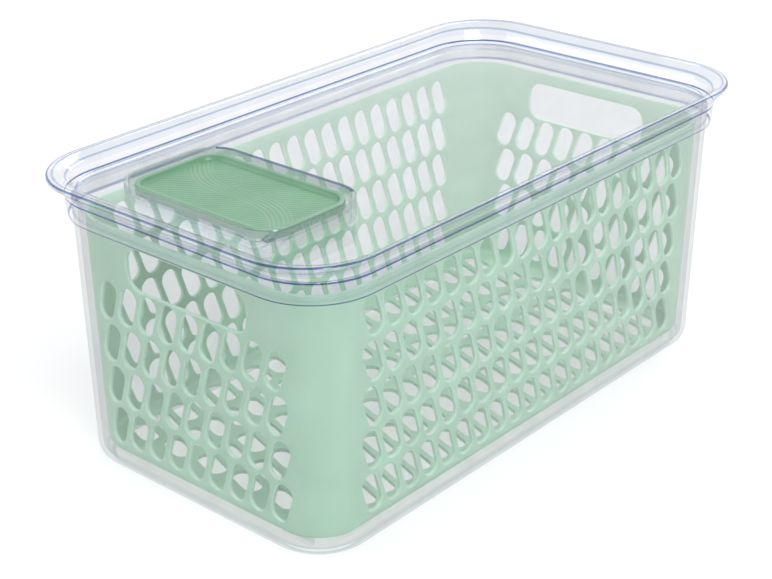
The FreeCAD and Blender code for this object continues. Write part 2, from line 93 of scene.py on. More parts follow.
DRAIN_WIDE, DRAIN_LENGTH = 9.4 * MM, 20.0 * MM
DRAIN_LEAN = math.radians(108.0)

# Lid
LID_SHEET = 2.4 * MM
SKIRT_GAP = 0.3 * MM
SKIRT_WALL = 2.1 * MM
LIP_TALL = 11.2 * MM
LIP_EDGE = 0.9 * MM
CREST_WIDE = 1.3 * MM
CREST_SLOPE = 3.0 * MM
CREST_END_IN = 9.9 * MM
CREST_SIDE_IN = 6.2 * MM
FIELD_IN = 4.0 * MM
FIELD_CORNER = 26.0 * MM
LIP_CORNER = 36.4 * MM
FLARE_START = 0.05      # shares of the lip's height and of its overhang where the flare starts
FLARE_START_OUT = 0.03
FLARE_POWER = 1.7
FLARE_BULGE = 0.5 * MM
FLARE_STEPS = 10
POOL_STEPS = 6
CREST_POWER = 1.5

# Vent
VENT_Y = (SHUTTER_LOW.y + SHUTTER_HIGH.y) / 2
VENT_HALF_X = SHUTTER_HIGH.x
VENT_HALF_Y = (SHUTTER_HIGH.y - SHUTTER_LOW.y) / 2
VENT_CORNER = 11.0 * MM
VENT_TALL = 4.0 * MM
SIDE_ROOM, END_ROOM = 2.6 * MM, 2.6 * MM
COLLAR_WALL = 2.0 * MM
COLLAR_TURN = 0.4 * MM
DECK_RISE = 3.9 * MM
DECK_SHEET = 2.0 * MM
TRAY_DEPTH = 2.0 * MM
TRAY_RIM = 2.6 * MM
TRAY_WEB = 1.1 * MM
SHUTTER_WALL = 2.0 * MM
CURB_TURN = 0.7 * MM
CURB_LEAN = 0.3 * MM
AIR_SLOTS, AIR_PITCH, AIR_WIDE, AIR_DEEP = 5, 13.0 * MM, 4.4 * MM, 18.0 * MM
AIR_CORNER, LEG_CORNER = 0.5 * MM, 0.3 * MM
BAR_WIDE = 4.8 * MM
TRAVEL = 2.4 * MM
LEG_THICK, LEG_DEEP, LEG_SLACK = 3.0 * MM, 4.0 * MM, 0.3 * MM
LEG_AT_SIDE, LEG_AT_END = 35.5 * MM, 17.0 * MM
HOOK_OUT, HOOK_THICK = 1.2 * MM, 1.2 * MM

# Wave lines in the shutter: their direction, spacing and bend, and a bundle that crosses them
WAVE_WAY = (0.804, 0.595)
WAVE_PITCH, WAVE_BEND, WAVE_LENGTH = 2.1 * MM, 1.5 * MM, 7.0 * MM
WAVE_TWIST = 40.0       # turn of the bends from line to line, radians per metre
WAVE_DEEP = 0.2 * MM
WAVE_GRID = 0.42 * MM
WAVE_REACH = (0.985, 0.975)     # the grid keeps inside these shares of the tray's outline
BUNDLE_WAY = (0.929, -0.37)
BUNDLE_BEND, BUNDLE_LENGTH, BUNDLE_WIDE = 6.0 * MM, 14.0 * MM, 12.6 * MM

# Middle point of a rounded edge, as a share of its radius in from each face
TURN = 0.29

# Light and camera
LAMP_TARGET = (0.0, 0.0, 0.05)
FLOOR_GLOW = 0.6
ROOM_WHITE = 1.12
MIRRORED_WHITE = 1.3
ROOM_DIM = (0.70, 0.74, 0.85, 1.0)
FILL_COLOUR, FILL_STRENGTH = (0.95, 0.97, 1.0, 1.0), 0.55
UPWARD = (0.0, 0.0, 1.0)
TO_CAMERA_SIDE = (0.657, -0.754, 0.0)
MIRRORED_BY_LID = (-0.594, 0.681, 0.427)
CAMERA_PLACE = (0.49215, -0.58242, 0.41533)
CAMERA_AZIMUTH = math.radians(41.0912)
CAMERA_ELEVATION = math.radians(25.3034)
CAMERA_ROLL = math.radians(-0.33815)
CAMERA_LENS, CAMERA_SENSOR = 78.88, 36.0
LIGHT_BOUNCES = 24

# Points closer than this are joined
WELD = 1e-6


# Outlines and rings

def rounded(half_x, half_y, radius, middle=(0.0, 0.0), steps=12):
    """Points of a rounded rectangle, counter-clockwise."""
    points = []
    for quarter, (sx, sy) in enumerate(((1, 1), (-1, 1), (-1, -1), (1, -1))):
        cx = middle[0] + sx * (half_x - radius)
        cy = middle[1] + sy * (half_y - radius)
        for i in range(steps + 1):
            angle = math.pi / 2 * (quarter + i / steps)
            points.append((cx + radius * math.cos(angle), cy + radius * math.sin(angle)))
    return points


def slot_outline(middle, length, width, lean=0.0, grow=0.0, steps=8):
    """Points of a slot with round ends whose long axis leans from the second direction."""
    axis = Vector((math.sin(lean), math.cos(lean)))
    across = Vector((axis.y, -axis.x))
    reach = (length - width) / 2
    radius = width / 2 + grow
    points = []
    for side in (1, -1):
        end = Vector(middle) + axis * reach * side
        for i in range(steps + 1):
            angle = math.pi * i / steps
            points.append(end + (across * math.cos(angle) + axis * math.sin(angle)) * radius * side)
    return [(p.x, p.y) for p in points]


def ring(bm, points):
    return [bm.verts.new(p) for p in points]


def flat_ring(bm, outline, z):
    return ring(bm, [(x, y, z) for x, y in outline])


def bridge(bm, first, second, material=0):
    count = len(first)
    for i in range(count):
        j = (i + 1) % count
        face = bm.faces.new((first[i], first[j], second[j], second[i]))
        face.material_index = material


def bridge_all(bm, rings, material=0):
    for first, second in zip(rings, rings[1:]):
        bridge(bm, first, second, material)


def inside(point, loop):
    """Whether a point lies in a closed loop of points."""
    x, y = point
    found = False
    for (x0, y0), (x1, y1) in zip(loop, loop[1:] + loop[:1]):
        if (y0 > y) != (y1 > y) and x < (x1 - x0) * (y - y0) / (y1 - y0) + x0:
            found = not found
    return found


def pierced_triangles(outer, holes, extra=()):
    """Triangles of a flat region: its outline, holes in it and extra points."""
    points = []
    edges = []
    for loop in [outer] + holes:
        start = len(points)
        points += loop
        edges += [(start + i, start + (i + 1) % len(loop)) for i in range(len(loop))]
    points += list(extra)
    result = geometry.delaunay_2d_cdt([Vector(p) for p in points], edges, [], 0, 1e-9)
    coords, triangles, origins = result[0], result[2], result[3]
    boxes = [(min(p[0] for p in h), max(p[0] for p in h), min(p[1] for p in h),
              max(p[1] for p in h), h) for h in holes]
    kept = []
    for triangle in triangles:
        cx = sum(coords[i].x for i in triangle) / 3
        cy = sum(coords[i].y for i in triangle) / 3
        near = [h for x0, x1, y0, y1, h in boxes if x0 < cx < x1 and y0 < cy < y1]
        if inside((cx, cy), outer) and not any(inside((cx, cy), h) for h in near):
            kept.append(tuple(origins[i][0] for i in triangle))
    return points, kept


def anywhere(spot):
    return True


def mark_between(first, second, material, where=anywhere):
    """Give the faces that join two neighbouring rings a material, where a test allows it."""
    pair = set(first) | set(second)
    for v in first:
        for face in v.link_faces:
            if all(c in pair for c in face.verts) and where(face.calc_center_median()):
                face.material_index = material


def mark_along(rings, material, where=anywhere):
    """Mark all the faces between the first and the last of some neighbouring rings."""
    for first, second in zip(rings, rings[1:]):
        mark_between(first, second, material, where)


def fill_flat(bm, outer, holes=()):
    """Fill between a ring of vertices and hole rings that lie in one level plane."""
    rings = [outer] + list(holes)
    loops = [[(v.co.x, v.co.y) for v in r] for r in rings]
    verts = [v for r in rings for v in r]
    _, triangles = pierced_triangles(loops[0], loops[1:])
    for triangle in triangles:
        bm.faces.new([verts[i] for i in triangle])


def finish_piece(bm, name, body, materials, sharp=25.0):
    """Join and smooth the faces, with sharp edges from an angle on, and name the piece."""
    bmesh.ops.remove_doubles(bm, verts=bm.verts, dist=WELD)
    bmesh.ops.recalc_face_normals(bm, faces=bm.faces)
    for face in bm.faces:
        face.smooth = True
    limit = math.radians(sharp)
    for edge in bm.edges:
        if len(edge.link_faces) == 2:
            edge.smooth = edge.calc_face_angle(0.0) < limit
    mesh = bpy.data.meshes.new(name)
    bm.to_mesh(mesh)
    bm.free()
    piece = bpy.data.objects.new(name, mesh)
    bpy.context.scene.collection.objects.link(piece)
    for material in materials:
        mesh.materials.append(material)
    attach(piece, body)
    return piece


# Materials

CLEAR_SHADOW = (0.93, 0.94, 0.955, 1.0)
MIRROR_POWER, EDGE_ON_SHINE, MIRROR_ROUGH = 4.0, 0.85, 0.05
GRAIN_TALL = 0.05 * MM
STREAK_TALL = 0.2 * MM


def node_material(name):
    material = bpy.data.materials.new(name)
    material.use_nodes = True
    nodes = material.node_tree.nodes
    nodes.clear()
    output = nodes.new("ShaderNodeOutputMaterial")
    return material, nodes, material.node_tree.links, output


def noise_node(nodes, links, scale, detail=2.0, stretch=(1.0, 1.0, 1.0)):
    place = nodes.new("ShaderNodeTexCoord")
    mapping = nodes.new("ShaderNodeMapping")
    mapping.inputs["Scale"].default_value = stretch
    texture = nodes.new("ShaderNodeTexNoise")
    texture.inputs["Scale"].default_value = scale
    texture.inputs["Detail"].default_value = detail
    links.new(place.outputs["Object"], mapping.inputs["Vector"])
    links.new(mapping.outputs["Vector"], texture.inputs["Vector"])
    return texture


def ramp_node(nodes, links, source, low, high):
    ramp = nodes.new("ShaderNodeValToRGB")
    ramp.color_ramp.elements[0].position = 0.3
    ramp.color_ramp.elements[1].position = 0.7
    ramp.color_ramp.elements[0].color = low
    ramp.color_ramp.elements[1].color = high
    links.new(source, ramp.inputs["Fac"])
    return ramp


def grey(value):
    return (value, value, value, 1.0)


def bumped(nodes, links, texture, strength, height):
    bump = nodes.new("ShaderNodeBump")
    bump.inputs["Strength"].default_value = strength
    bump.inputs["Distance"].default_value = height
    links.new(texture.outputs["Fac"], bump.inputs["Height"])
    return bump.outputs["Normal"]


def larger(nodes, links, first, second):
    pick = nodes.new("ShaderNodeMath")
    pick.operation = "MAXIMUM"
    links.new(first, pick.inputs[0])
    links.new(second, pick.inputs[1])
    return pick.outputs["Value"]


def mixed(nodes, links, share, first, second):
    mix = nodes.new("ShaderNodeMixShader")
    links.new(share, mix.inputs["Fac"])
    links.new(first, mix.inputs[1])
    links.new(second, mix.inputs[2])
    return mix.outputs["Shader"]


def green_plastic(name, dark, light, rough, grain):
    """Coloured moulded plastic: faint cloudiness, satin roughness and a fine grain."""
    material, nodes, links, output = node_material(name)
    shader = nodes.new("ShaderNodeBsdfPrincipled")
    cloud = noise_node(nodes, links, 45.0, 3.0)
    colour = ramp_node(nodes, links, cloud.outputs["Fac"], dark, light)
    links.new(colour.outputs["Color"], shader.inputs["Base Color"])
    streak = noise_node(nodes, links, 160.0, 4.0, (1.0, 1.0, 0.3))
    roughness = ramp_node(nodes, links, streak.outputs["Fac"], grey(rough - 0.05), grey(rough + 0.06))
    links.new(roughness.outputs["Color"], shader.inputs["Roughness"])
    fine = noise_node(nodes, links, 1400.0, 2.0)
    links.new(bumped(nodes, links, fine, grain, GRAIN_TALL), shader.inputs["Normal"])
    shader.inputs["IOR"].default_value = 1.49
    shader.inputs["Subsurface Weight"].default_value = 0.25
    shader.inputs["Subsurface Radius"].default_value = (0.6, 1.0, 0.7)
    shader.inputs["Subsurface Scale"].default_value = 2.0 * MM
    links.new(shader.outputs["BSDF"], output.inputs["Surface"])
    return material


def edge_on_share(nodes, links, shine, normal):
    """How much clear plastic mirrors: little face on, nearly all where it is seen edge on."""
    edge_on = nodes.new("ShaderNodeLayerWeight")
    rise = nodes.new("ShaderNodeMath")
    rise.operation = "POWER"
    rise.inputs[1].default_value = MIRROR_POWER
    share = nodes.new("ShaderNodeMapRange")
    share.inputs["To Min"].default_value = shine
    share.inputs["To Max"].default_value = EDGE_ON_SHINE
    links.new(edge_on.outputs["Facing"], rise.inputs[0])
    links.new(rise.outputs["Value"], share.inputs["Value"])
    if normal:
        links.new(normal, edge_on.inputs["Normal"])
    return share.outputs["Result"]


def thin_clear(name, tint, streaks=0.0, shine=0.04):
    """Thin clear plastic, seen straight through. Lamp light passes it with a little loss."""
    material, nodes, links, output = node_material(name)
    through = nodes.new("ShaderNodeBsdfTransparent")
    flow = noise_node(nodes, links, 60.0, 2.0, (1.0, 1.0, 0.5))
    paler = tuple(min(1.0, c * 1.03) for c in tint[:3]) + (1.0,)
    colour = ramp_node(nodes, links, flow.outputs["Fac"], tint, paler)
    links.new(colour.outputs["Color"], through.inputs["Color"])
    mirror = nodes.new("ShaderNodeBsdfGlossy")
    mirror.inputs["Roughness"].default_value = MIRROR_ROUGH
    normal = None
    if streaks:
        ripple = noise_node(nodes, links, 700.0, 2.0, (1.0, 1.0, 0.04))
        normal = bumped(nodes, links, ripple, streaks, STREAK_TALL)
        links.new(normal, mirror.inputs["Normal"])
    share = edge_on_share(nodes, links, shine, normal)
    seen = mixed(nodes, links, share, through.outputs["BSDF"], mirror.outputs["BSDF"])
    shade = nodes.new("ShaderNodeBsdfTransparent")
    shade.inputs["Color"].default_value = CLEAR_SHADOW
    rays = nodes.new("ShaderNodeLightPath")
    lighting = larger(nodes, links, rays.outputs["Is Shadow Ray"], rays.outputs["Is Diffuse Ray"])
    links.new(mixed(nodes, links, lighting, seen, shade.outputs["BSDF"]),
              output.inputs["Surface"])
    return material


CLEAR = thin_clear("clear_bin_plastic", (0.895, 0.905, 0.905, 1.0))
# painted reflection and light: the bin's floor is tinted paler and greener than its walls, for the
# green basket mirrored in it and to lighten the shade seen through it
CLEAR_FLOOR_PAINTED_REFLECTION = thin_clear("clear_bin_floor_painted_reflection", (0.95, 0.975, 0.955, 1.0))
# painted shade: a darker tint on the bin's rounded foot, in place of the dark refraction where the
# sheet turns
FOOT_PAINTED_SHADE = thin_clear("foot_painted_shade", (0.74, 0.79, 0.80, 1.0))
THIN_CLEAR = thin_clear("thin_clear_plastic", (0.93, 0.935, 0.95, 1.0))
# painted shade: the lip's flare is tinted darker and bluer than the lid's sheet, for the dim bluish
# room bent and mirrored in it
LIP_PAINTED_SHADE = thin_clear("clear_lip_painted_shade", (0.85, 0.875, 0.905, 1.0))
# painted shade: a dark bluish tint for the lid's turned edges, in place of the dark refractions and
# reflections seen there
LID_EDGE_PAINTED_SHADE = thin_clear("lid_edge_painted_shade", (0.17, 0.26, 0.47, 1.0))
# painted shade: a greyish-blue tint for lines on the bin's rim and in the lid's pool, in place of the
# dark refraction where the sheet turns
PAINTED_SHADE_LINE = thin_clear("painted_shade_line", (0.55, 0.62, 0.76, 1.0))
# the streaks are bumps; the greenish, darker tint is painted shade, for the green-filtered shade seen
# through the collar wall
STREAKED_PAINTED_GREEN_SHADE = thin_clear("streaked_clear_painted_green_shade", (0.86, 0.91, 0.89, 1.0), 0.8, 0.32)
BASKET_GREEN = green_plastic("basket_green", (0.41, 0.615, 0.455, 1.0), (0.445, 0.655, 0.49, 1.0),
                             0.42, 0.12)
# painted highlight: a paler green for the sides of the basket's holes and slots, where rolled edges
# catch light and thin plastic lets it through
BASKET_HOLE_PAINTED_HIGHLIGHT = green_plastic("basket_hole_painted_highlight", (0.51, 0.70, 0.555, 1.0), (0.55, 0.74, 0.59, 1.0),
                            0.38, 0.12)
SHUTTER_GREEN = green_plastic("shutter_green", (0.118, 0.258, 0.155, 1.0),
                              (0.135, 0.29, 0.18, 1.0), 0.36, 0.1)


# Bin

def tub_outline(z, inset):
    grow = LEAN * z - inset
    return rounded(HALF_X + grow, HALF_Y + grow, BIN_CORNER + grow)


def arc_share(i, steps):
    """Shares of a radius at a step of a quarter round: how far in, how far up."""
    angle = math.pi / 2 * i / steps
    return 1.0 - math.sin(angle), 1.0 - math.cos(angle)


def tub_side(bm, bottom, top, inset, radius, edge, steps=6):
    """Rings of one side of a tub, from its rounded foot to the start of its rounded rim."""
    rings = []
    for i in range(steps + 1):
        inward, up = arc_share(i, steps)
        z = bottom + radius * up
        rings.append(flat_ring(bm, tub_outline(z, inset + radius * inward), z))
    rings.append(flat_ring(bm, tub_outline(top - edge, inset), top - edge))
    return rings


def block(bm, middle, half_x, half_y, low, high):
    """An upright box about a point, between two heights."""
    corners = bmesh.ops.create_cube(bm, size=2.0)["verts"]
    for v in corners:
        v.co = Vector((middle[0] + half_x * v.co.x, middle[1] + half_y * v.co.y,
                       high if v.co.z > 0 else low))


def make_rib(bm, middle, size_x, size_y):
    """A low rib on the bin's floor; its lowest ring is given back as a hole for the floor."""
    top = BIN_WALL + RIB_TALL
    rings = [flat_ring(bm, rounded(size_x / 2 - inset, size_y / 2 - inset, RIB_TURN - inset / 2,
                                   middle, 2), z)
             for z, inset in ((BIN_WALL, 0.0), (top - RIB_TURN, 0.0), (top, RIB_TURN))]
    bridge_all(bm, rings)
    fill_flat(bm, rings[-1])
    return rings[0]


def make_ribs(bm):
    """Two ribs in each corner, under the edge of the basket's flat base."""
    inset = BASKET_INSET + BASKET_ROUND + RIB_THICK - LEAN * BASKET_LOW.z
    ribs = []
    for sx, sy in CORNERS:
        end = (sx * RIB_END_AT, sy * (HALF_Y - inset))
        side = (sx * (HALF_X - inset), sy * RIB_SIDE_AT)
        ribs.append(make_rib(bm, end, RIB_LENGTH, RIB_THICK))
        ribs.append(make_rib(bm, side, RIB_THICK, RIB_LENGTH))
    return ribs


def make_bin():
    bm = bmesh.new()
    outer = tub_side(bm, 0.0, RIM, 0.0, FOOT_ROUND, RIM_TURN)
    inner = tub_side(bm, BIN_WALL, RIM, BIN_WALL, FOOT_ROUND - BIN_WALL, RIM_TURN)
    rim = [flat_ring(bm, tub_outline(RIM, RIM_TURN), RIM),
           flat_ring(bm, tub_outline(RIM, BIN_WALL - RIM_TURN), RIM)]
    fill_flat(bm, outer[0])
    bridge_all(bm, outer + rim + inner[::-1])
    fill_flat(bm, inner[0], make_ribs(bm))
    rim_painted_shade, foot_painted_shade, floor = 1, 2, 3
    # painted shade on the bin's rim, for the dark refraction through its edge
    mark_along([outer[-1]] + rim + [inner[-1]], rim_painted_shade)
    # painted shade on the rounded foot, outside and inside
    mark_between(outer[0], outer[1], foot_painted_shade)
    mark_between(inner[2], inner[3], foot_painted_shade)
    bm.normal_update()
    # level floor faces get the painted reflection tint
    for face in bm.faces:
        if face.normal.z ** 2 > 0.99 and face.calc_center_median().z < FLOOR_BELOW:
            face.material_index = floor
    piece = finish_piece(bm, "bin_shell", "box",
                         [CLEAR, PAINTED_SHADE_LINE, FOOT_PAINTED_SHADE, CLEAR_FLOOR_PAINTED_REFLECTION])
    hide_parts("bin")


# Basket

BASKET_BASE = BASKET_LOW.z
BASKET_RIM = BASKET_HIGH.z - RIM_DROP
MID_HEIGHT = 70.0 * MM
CORNER_LENGTH_RADIUS = BIN_CORNER - BASKET_INSET + LEAN * MID_HEIGHT
CORNER_STEPS = 6
WALL_ROWS = 18


class Wall:
    """One wall of the basket with half of each corner beside it. A point on it is given by the
    way along the wall, its height and its depth under the outer face."""

    def __init__(self, outward, along, reach, half_flat):
        self.outward = Vector(outward)
        self.along = Vector(along)
        self.reach = reach
        self.half_flat = half_flat
        self.half = half_flat + CORNER_LENGTH_RADIUS * math.pi / 4

    def point(self, way, z, depth):
        grow = LEAN * z - BASKET_INSET - depth
        flat = max(-self.half_flat, min(self.half_flat, way))
        angle = (way - flat) / CORNER_LENGTH_RADIUS
        radius = BIN_CORNER + grow
        centre = self.along * flat + self.outward * (self.reach - BIN_CORNER)
        spot = centre + (self.outward * math.cos(angle) + self.along * math.sin(angle)) * radius
        spot.z = z
        return spot

    def ways(self):
        """Places along the wall where the level rings have their points."""
        step = (self.half - self.half_flat) / CORNER_STEPS
        turn = [self.half_flat + step * i for i in range(CORNER_STEPS + 1)]
        return [-w for w in turn[::-1]] + turn


FLAT_X = HALF_X - BIN_CORNER
FLAT_Y = HALF_Y - BIN_CORNER
WALLS = {
    "right": Wall((1, 0, 0), (0, 1, 0), HALF_X, FLAT_Y),
    "rear": Wall((0, 1, 0), (1, 0, 0), HALF_Y, FLAT_X),
    "left": Wall((-1, 0, 0), (0, 1, 0), HALF_X, FLAT_Y),
    "front": Wall((0, -1, 0), (1, 0, 0), HALF_Y, FLAT_X),
}


def wall_holes(name):
    """Makers of the hole outlines of a wall: each takes how far to grow the hole."""
    makers = []
    if name in ("right", "left"):
        columns, rows, pitch, lean = SIDE_COLUMNS, SIDE_ROWS, SIDE_PITCH, -HOLE_SLANT
    else:
        columns, rows, pitch, lean = END_COLUMNS, END_ROWS, END_PITCH, HOLE_SLANT
        grip_z = BASKET_HIGH.z - GRIP_BELOW_TOP - GRIP_TALL / 2
        makers.append(lambda grow: rounded(GRIP_WIDE / 2 + grow, GRIP_TALL / 2 + grow,
                                           GRIP_CORNER + grow, (0.0, grip_z), 6))
    for i in range(columns):
        for j in range(rows):
            middle = ((i - (columns - 1) / 2) * pitch, HOLE_FIRST + j * HOLE_RISE)
            makers.append(lambda grow, middle=middle: slot_outline(
                middle, HOLE_HIGH, HOLE_WIDE, lean, grow))
    return makers


def hole_sections():
    """Grow and depth of the rings through a hole, with a rolled edge on both faces."""
    roll = HOLE_ROLL
    front = [(roll, 0.0), (roll * TURN, roll * TURN), (0.0, roll)]
    back = [(grow, BASKET_WALL - depth) for grow, depth in front[::-1]]
    return front + back


def pierced_wall(bm, wall, makers, bottom, top):
    """Both faces of a wall between two heights, with the holes' sides between them."""
    ways = wall.ways()
    heights = [bottom + (top - bottom) * i / WALL_ROWS for i in range(WALL_ROWS + 1)]
    outer = [(w, bottom) for w in ways] + [(wall.half, z) for z in heights[1:-1]]
    outer += [(w, top) for w in ways[::-1]] + [(-wall.half, z) for z in heights[-2:0:-1]]
    wide_holes = [make(HOLE_ROLL) for make in makers]
    margins = [make(HOLE_ROLL + HOLE_MARGIN) for make in makers]
    extra = [(w, z) for w in ways[1:-1] for z in heights[1:-1]
             if not any(inside((w, z), margin) for margin in margins)]
    points, triangles = pierced_triangles(outer, wide_holes, extra)
    for depth in (0.0, BASKET_WALL):
        verts = ring(bm, [wall.point(w, z, depth) for w, z in points])
        for triangle in triangles:
            bm.faces.new([verts[i] for i in triangle])
    for make in makers:
        rings = []
        for grow, depth in hole_sections():
            rings.append(ring(bm, [wall.point(w, z, depth) for w, z in make(grow)]))
        # hole sides get the paler painted highlight material
        bridge_all(bm, rings, 1)


def level_points(z, depth):
    """The basket's outline at a height and a depth, wall after wall, counter-clockwise."""
    points = []
    for name, backwards in (("right", False), ("rear", True), ("left", True), ("front", False)):
        ways = WALLS[name].ways()
        for way in (ways[::-1] if backwards else ways)[:-1]:
            points.append(WALLS[name].point(way, z, depth))
    return points


def foot_rings(bm):
    """Rings of the basket's rounded foot: those of its outside and those of its inside."""
    steps = 4
    outer, inner = [], []
    for i in range(steps + 1):
        inward, up = arc_share(i, steps)
        outer.append(ring(bm, level_points(BASKET_BASE + BASKET_ROUND * up,
                                           BASKET_ROUND * inward)))
        inner.append(ring(bm, level_points(BASKET_BASE + BASKET_WALL + BASKET_INNER_ROUND * up,
                                           BASKET_WALL + BASKET_INNER_ROUND * inward)))
    inner.append(ring(bm, level_points(BASKET_BASE + BASKET_ROUND, BASKET_WALL)))
    return outer, inner


def rim_rings(bm):
    turn = RIM_TURN
    return [ring(bm, level_points(BASKET_RIM - down, depth)) for down, depth in (
        (turn, 0.0), (turn * TURN, turn * TURN), (0.0, turn), (0.0, BASKET_WALL - turn),
        (turn * TURN, BASKET_WALL - turn * TURN), (turn, BASKET_WALL))]


def drain_rings(bm):
    """A pair of rings for each slot in the floor: on its lower and on its upper face."""
    drains = []
    for i in range(DRAIN_COLUMNS):
        for j in range(DRAIN_ROWS):
            middle = ((i - (DRAIN_COLUMNS - 1) / 2) * DRAIN_ACROSS,
                      (j - (DRAIN_ROWS - 1) / 2) * DRAIN_ALONG)
            outline = slot_outline(middle, DRAIN_LENGTH, DRAIN_WIDE, DRAIN_LEAN, 0.0, 6)
            drains.append([flat_ring(bm, outline, BASKET_BASE),
                           flat_ring(bm, outline, BASKET_BASE + BASKET_WALL)])
    return drains


def make_basket():
    bm = bmesh.new()
    for name, wall in WALLS.items():
        pierced_wall(bm, wall, wall_holes(name), BASKET_BASE + BASKET_ROUND,
                     BASKET_RIM - RIM_TURN)
    outer, inner = foot_rings(bm)
    bridge_all(bm, outer)
    bridge_all(bm, inner)
    bridge_all(bm, rim_rings(bm))
    drains = drain_rings(bm)
    for rings in drains:
        # drain slot sides get the paler painted highlight material
        bridge_all(bm, rings, 1)
    fill_flat(bm, outer[0], [rings[0] for rings in drains])
    fill_flat(bm, inner[0], [rings[1] for rings in drains])
    piece = finish_piece(bm, "basket_tub", "box", [BASKET_GREEN, BASKET_HOLE_PAINTED_HIGHLIGHT])
    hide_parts("basket")


# Lid

def eased(share):
    return share * share * (3 - 2 * share)


LIP_TOP = RIM + LIP_TALL
FIELD_TOP = RIM + LID_SHEET
DECK_TOP = FIELD_TOP + DECK_RISE
DECK_LOW = DECK_TOP - DECK_SHEET
SKIRT_OUT = LEAN * LID_LOW.z + SKIRT_GAP + SKIRT_WALL
LEG_SPOTS = [(sx * LEG_AT_SIDE, VENT_Y + sy * LEG_AT_END) for sx, sy in CORNERS]


def hood_ring(bm, z):
    """Inside of the skirt, a little outside the bin."""
    grow = LEAN * z + SKIRT_GAP
    return flat_ring(bm, rounded(HALF_X + grow, HALF_Y + grow, BIN_CORNER + grow), z)


def side_ring(bm, z, share, extra):
    """Outside of the lid: the skirt's outline, moved out by a share of the lip's overhang."""
    skirt = Vector((HALF_X, HALF_Y, BIN_CORNER)) + Vector((SKIRT_OUT, SKIRT_OUT, SKIRT_OUT))
    lip = Vector((LID_HIGH.x, LID_HIGH.y, LIP_CORNER))
    half_x, half_y, corner = skirt + (lip - skirt) * share
    return flat_ring(bm, rounded(half_x + extra, half_y + extra, corner + extra), z)


def lid_side(bm):
    """Rings from the skirt's lower edge, up the flare and over the lip's edge."""
    low = LID_LOW.z
    edge = LIP_EDGE
    rings = [side_ring(bm, low, 0.0, -edge), side_ring(bm, low + edge * 0.3, 0.0, -edge * 0.3),
             side_ring(bm, low + edge, 0.0, 0.0)]
    start = RIM + LIP_TALL * FLARE_START
    end = LIP_TOP - 2 * edge
    for i in range(FLARE_STEPS + 1):
        share = i / FLARE_STEPS
        out = FLARE_START_OUT + (1 - FLARE_START_OUT) * share ** FLARE_POWER
        rings.append(side_ring(bm, start + (end - start) * share, out, FLARE_BULGE * (1 - share)))
    rings.append(side_ring(bm, LIP_TOP - edge * 0.7, 1.0, 0.0))
    rings.append(side_ring(bm, LIP_TOP - edge * 0.2, 1.0, -edge * 0.3))
    rings.append(side_ring(bm, LIP_TOP, 1.0, -edge))
    return rings


def lid_pool(bm):
    """Rings from the lip's crest down into the lid's field."""
    def pool(z, end_in, side_in, corner):
        return flat_ring(bm, rounded(LID_HIGH.x - side_in, LID_HIGH.y - end_in, corner), z)

    crest_in = LIP_EDGE + CREST_WIDE
    crest_corner = LIP_CORNER - crest_in
    slope_corner = FIELD_CORNER + FIELD_IN
    rings = [pool(LIP_TOP, crest_in, crest_in, crest_corner)]
    for i in range(1, POOL_STEPS + 1):
        share = i / POOL_STEPS
        rings.append(pool(LIP_TOP - CREST_SLOPE * share ** CREST_POWER,
                          crest_in + (CREST_END_IN - crest_in) * share,
                          crest_in + (CREST_SIDE_IN - crest_in) * share,
                          crest_corner + (slope_corner - crest_corner) * share))
    slope_end = LIP_TOP - CREST_SLOPE
    for i in range(1, POOL_STEPS + 1):
        share = i / POOL_STEPS
        rings.append(pool(slope_end + (FIELD_TOP - slope_end) * eased(share),
                          CREST_END_IN + FIELD_IN * share, CREST_SIDE_IN + FIELD_IN * share,
                          slope_corner - FIELD_IN * share))
    return rings


def vent_ring(bm, z, grow):
    """A level ring round the vent, grown from the outline of the shutter's pocket."""
    return flat_ring(bm, rounded(VENT_HALF_X + SIDE_ROOM + grow, VENT_HALF_Y + END_ROOM + grow,
                                 VENT_CORNER + END_ROOM + grow, (0.0, VENT_Y)), z)


def collar_rings(bm):
    """Rings up the outside of the collar, over its edge and down to the deck."""
    top = LID_HIGH.z
    turn = COLLAR_TURN
    return [vent_ring(bm, FIELD_TOP, COLLAR_WALL), vent_ring(bm, top - turn, COLLAR_WALL),
            vent_ring(bm, top, COLLAR_WALL - turn), vent_ring(bm, top, turn),
            vent_ring(bm, top - turn, 0.0), vent_ring(bm, DECK_TOP, 0.0)]


def deck_slots():
    """Outlines of the air slots and of the slots for the shutter's hooks."""
    slots = [rounded(AIR_WIDE / 2, AIR_DEEP / 2, AIR_CORNER,
                     ((i - (AIR_SLOTS - 1) / 2) * AIR_PITCH, VENT_Y), 1)
             for i in range(AIR_SLOTS)]
    slots += [rounded(LEG_THICK / 2 + TRAVEL + LEG_SLACK, LEG_DEEP / 2 + LEG_SLACK, LEG_CORNER,
                      spot, 1) for spot in LEG_SPOTS]
    return slots


